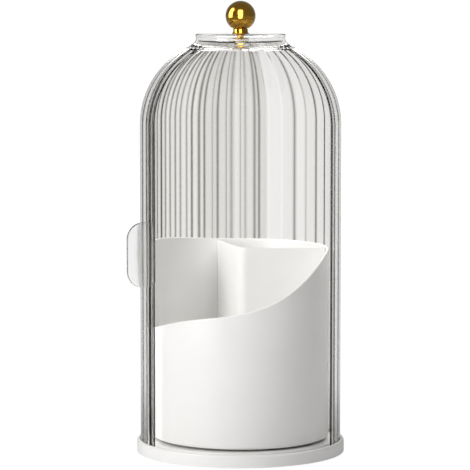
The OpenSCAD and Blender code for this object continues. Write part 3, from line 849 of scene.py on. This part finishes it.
def shellRows(shell, domeStops, neckStops, innerNeckStops):
    # the outer and the inner rows of a shell, from its foot to the top of its neck
    rows, inner = [], []
    for z in (shell["low"], *dome["levels"], dome["start"]):
        rows.append((shell["outer"], z, 1, 0, 1))
        inner.append((shell["outer"] - shell["wall"], z, 1, 0, 0))
    for stop in domeStops:
        rows.append((*domePoint(shell["outer"], stop), 1))
        inner.append((*domePoint(shell["outer"] - shell["wall"], stop), 0))
    for stop, innerStop in zip(neckStops, innerNeckStops):
        for target, angle, arc in ((rows, stop, shell["neckRound"]),
                                   (inner, innerStop, shell["neckRound"] + shell["wall"])):
            c, s = cosSin(angle)
            target.append((dome["neckRho"] + arc * c, dome["neckZ"] + arc * s, -c, -s, 0))
    return rows, inner


def crownStops(shell):
    # the dome's rows, and which of a shell's rows is the top of its opening
    stops = [*dome["stops"], *sorted((shell["openTop"], *shell["moreStops"])), dome["neckAngle"]]
    return stops, len(dome["levels"]) + 2 + stops.index(shell["openTop"])


def flatRows(profile):
    return [(rho, z, 0, 1, 0) for rho, z in profile]


def buildShell(shell, rows, cap, inner, angles, isKept):
    # a closed shell: outer rows up, cap rows over the top and inner rows down, with a wall of cut
    # edge between what isKept says of two cells next to each other
    loop = rows + cap + inner[::-1]
    points, paintedShade = shellSurface(loop, angles, shell)
    wide = len(angles)
    shared = len(rows)
    last = len(loop) - 1
    faces = []

    def at(row, column):
        return row * wide + column % wide

    def middle(column):
        a, b = angles[column % wide][0], angles[(column + 1) % wide][0]
        return (a + b) / 2 if b > a else (a + b + 360) / 2

    edge = set()
    keep = [[i >= shared - 1 or isKept(i, middle(j)) for j in range(wide)] for i in range(shared)]
    for i in range(last):
        level = min(i, last - 1 - i)
        for j in range(wide):
            if level >= shared - 1 or keep[level][j]:
                faces.append((at(i, j), at(i, j + 1), at(i + 1, j + 1), at(i + 1, j)))
    for i in range(shared - 1):
        for j in range(wide):
            here, before = keep[i][j], keep[i][j - 1]
            if here != before:
                quad = (at(i, j), at(i + 1, j), at(last - i - 1, j), at(last - i, j))
                faces.append(quad if here else quad[::-1])
                edge.update(quad)
    for i in range(shared):
        for j in range(wide):
            below = i > 0 and keep[i - 1][j]
            above = keep[i][j] if i < shared - 1 else True
            if above and not below:
                faces.append((at(i, j + 1), at(i, j), at(last - i, j), at(last - i, j + 1)))
                if i > 0:
                    edge.update(faces[-1])
            elif below and not above:
                faces.append((at(i, j), at(i, j + 1), at(last - i, j + 1), at(last - i, j)))
    # painted shade on the points of the cut edges
    for index in edge:
        paintedShade[index] = max(paintedShade[index], shell["edgeShade"])
    used = sorted({index for face in faces for index in face})
    renumber = {old: new for new, old in enumerate(used)}
    return ([points[k] for k in used], [tuple(renumber[k] for k in face) for face in faces],
            [paintedShade[k] for k in used])


def makeRearCover():
    shell, tangent = coverShell, dome["neckAngle"]
    domeStops, openRow = crownStops(shell)
    neckSteps = shell["neckSteps"]
    neckStops = [180 + tangent - (k + 1) * tangent / neckSteps for k in range(neckSteps)]
    rows, inner = shellRows(shell, domeStops, neckStops, neckStops)
    lidR, lidZ, soft = shell["lidRadius"], dome["neckZ"], shell["lidSoft"]
    top = lidZ + shell["lidThick"]
    beadTop, beadR = top + shell["bead"], lidR - shell["beadWidth"]
    cap = [(lidR - soft, lidZ), (lidR, lidZ + soft), (lidR, beadTop - soft), (lidR - soft, beadTop),
           (beadR + soft, beadTop), (beadR, top)]
    cap += [(rho, top) for rho in shell["lidRings"]] + [(shell["hole"], top), (shell["hole"], lidZ)]
    cap += [(rho, lidZ) for rho in shell["lidRings"][::-1]]
    openFrom, openTo = (shell["groove"] + place * 360 / flutes["count"]
                        for place in shell["opening"])

    def isKept(row, degrees):
        return row >= openRow or not within(degrees, openFrom, openTo)

    columns = columnAngles(shell["groove"])
    points, faces, paintedShade = buildShell(shell, rows, flatRows(cap), inner, columns, isKept)
    makePiece("rearCoverShell", points, faces, "base", "clear_fluted_plastic", ["rear_cover"],
              values=paintedShade)


def makeDoorCover():
    shell = doorShell
    domeStops, openRow = crownStops(shell)
    arc, top = shell["neckRound"], shell["topZ"]
    under = top - shell["plate"]
    start = 180 + dome["neckAngle"]
    outerEnd = 180 + math.degrees(math.asin((dome["neckZ"] - top) / arc))
    innerEnd = 180 + math.degrees(math.asin((dome["neckZ"] - under) / (arc + shell["wall"])))
    neckStops, innerStops = ([start + (end - start) * k / shell["neckSteps"]
                              for k in range(1, shell["neckSteps"] + 1)]
                             for end in (outerEnd, innerEnd))
    rows, inner = shellRows(shell, domeStops, neckStops, innerStops)
    cap = [(rho, top) for rho in shell["lidRings"]] + [(shell["hole"], top), (shell["hole"], under)]
    cap += [(rho, under) for rho in shell["lidRings"][::-1]]

    def isKept(row, degrees):
        return row >= openRow or within(degrees, shell["trail"], shell["lead"])

    # the door's trailing edge is the middle of a flute
    columns = columnAngles(shell["trail"] + 180 / flutes["count"] - 360, (shell["lead"],))
    points, faces, paintedShade = buildShell(shell, rows, flatRows(cap), inner, columns, isKept)
    makePiece("doorShell", points, faces, "door", "clear_fluted_plastic", ["door_cover"],
              values=paintedShade)


makeRearCover()
makeDoorCover()
print("fluted shells built")


# The handle: a D-shaped fin, its root through the door and the strip that bonds it inside

handle = {
    "turn": 206.92,          # degrees, where the fin's middle plane stands
    "from": 65.75 * mm,
    "reach": 84 * mm,
    "middle": 136.8 * mm,
    "tall": 43 * mm,
    "thick": 2.2 * mm,
    "corner": 11 * mm,
    "innerCorner": 0.3 * mm,
    "cornerSteps": 12,
    "edge": 0.5 * mm,        # rounding all round the fin
    "edgeSteps": 3,
    "rootFrom": 63.9 * mm,
    "rootOver": 0.2 * mm,    # past the fin's inner edge
    "rootTall": 37 * mm,
    "rootThin": 0.05 * mm,   # less than the fin on each side
    "rootSoft": 0.2 * mm,
    "rootSteps": 3,
    "stripIn": 63.4 * mm,
    "stripOut": 64.4 * mm,
    "stripTall": 35 * mm,
    "stripTurn": 8.0,        # degrees that it reaches back from the fin
    "stripSoft": 0.3 * mm,
    "stripSteps": 4,
    "stripColumns": 6,
}


def block(inner, outer, half, corners, steps):
    # an upright outline of (rho, z) about the handle's middle, with an inner and an outer radius
    low, high = handle["middle"] - half, handle["middle"] + half
    return softLoop([(inner, low, corners[0]), (outer, low, corners[1]),
                     (outer, high, corners[1]), (inner, high, corners[0])], steps)


def addToHandle(name, sections):
    swept(name, sections, "door", "clear_handle_plastic", ["door_handle"])


def makeHandle():
    turn, half, edge = handle["turn"], handle["tall"] / 2, handle["edge"]
    sections = []
    stops = [90 * k / handle["edgeSteps"] for k in range(handle["edgeSteps"] + 1)]
    for side, order in ((-1, stops), (1, stops[::-1])):
        for stop in order:
            c, s = cosSin(stop)
            inset = edge * (1 - s)
            over = side * (handle["thick"] / 2 - edge * (1 - c))
            outline = block(handle["from"] + inset, handle["reach"] - inset, half - inset,
                            (handle["innerCorner"], handle["corner"] - inset),
                            handle["cornerSteps"])
            sections.append([around(rho, z, turn, over) for rho, z in outline])
    addToHandle("handleFin", sections)

    soft, over = handle["rootSoft"], handle["thick"] / 2 - handle["rootThin"]
    outline = block(handle["rootFrom"], handle["from"] + handle["rootOver"], handle["rootTall"] / 2,
                    (soft, soft), handle["rootSteps"])
    addToHandle("handleRoot", [[around(rho, z, turn, side) for rho, z in outline]
                               for side in (-over, over)])

    soft, columns = handle["stripSoft"], handle["stripColumns"]
    outline = block(handle["stripIn"], handle["stripOut"], handle["stripTall"] / 2,
                    (soft, soft), handle["stripSteps"])
    addToHandle("handleStrip", [[around(rho, z, turn - handle["stripTurn"] * (1 - k / columns))
                                 for rho, z in outline] for k in range(columns + 1)])


makeHandle()
print("handle built")


# The knob, its collar and the ring under the lid

knob = {
    "ballR": 10 * mm,
    "ballZ": 293.784 * mm,
    "ballRows": 44,
    "ballColumns": 128,
    "studR": 2 * mm,
    "grip": 8 * mm,          # depth of the stud's hole in the ball
    "collarZ": 281.684 * mm,
    "collarR": 5.75 * mm,
    "collarTopR": 4.85 * mm,
    "collarSoft": 0.15 * mm,
    "flareTop": 2.45 * mm,   # over the collar's foot
    "flareTall": 2.0 * mm,
    "seatRings": (4 * mm, 3 * mm),
    "ringR": 5.2 * mm,
    "ringZ": (278.234 * mm, 279.684 * mm),
    "ringSoft": 0.3 * mm,
    "ringSteps": 4,
}


def makeKnob():
    r, z, stud = knob["ballR"], knob["ballZ"], knob["studR"]
    start, rows = math.degrees(math.acos(stud / r)), knob["ballRows"]
    arc = []
    for k in range(rows):
        c, s = cosSin(-start + (90 + start) * k / rows)
        arc.append((r * c, z + r * s))
    hole = z - r + knob["grip"]
    turned("knobBall", [(0, hole), (stud, hole), *arc, (0, z + r)],
           "base", "polished_gold", ["knob_ball"], knob["ballColumns"])

    low, out, top, soft = knob["collarZ"], knob["collarR"], knob["collarTopR"], knob["collarSoft"]
    seat = [(rho, z - math.sqrt(r * r - rho * rho)) for rho in (top, *knob["seatRings"], stud)]
    flare = []
    for degrees in range(0, 91, 15):
        c, s = cosSin(degrees)
        flare.append((out - (out - top) * s, low + knob["flareTop"] - knob["flareTall"] * c))
    turned("knobCollar", [(stud, low), (out - soft, low), (out, low + soft), *flare, *seat],
           "base", "polished_gold", ["knob_collar"])

    (below, above), ringR, soft = knob["ringZ"], knob["ringR"], knob["ringSoft"]
    ring = softLoop([(stud, below, 0), (ringR, below, soft), (ringR, above, soft),
                     (stud, above, 0)], knob["ringSteps"])
    turned("spacerRing", ring, "base", "polished_gold", ["spacer_sleeve"])


def shareLamps():
    # keeps each lamp that has a "gold" word to the gold pieces, or away from them
    gold = finishOf["polished_gold"]
    only = bpy.data.collections.new("goldPieces")
    skip = bpy.data.collections.new("goldSpared")
    for piece in bpy.data.objects:
        if piece.type == "MESH" and gold in list(piece.data.materials):
            only.objects.link(piece)
            skip.objects.link(piece)
    for item in skip.collection_objects:
        item.light_linking.link_state = "EXCLUDE"
    for name, setup in lampSetup.items():
        if "gold" in setup:
            lamps[name].light_linking.receiver_collection = (
                only if setup["gold"] == "only" else skip)


makeKnob()
shareLamps()
print("knob built")
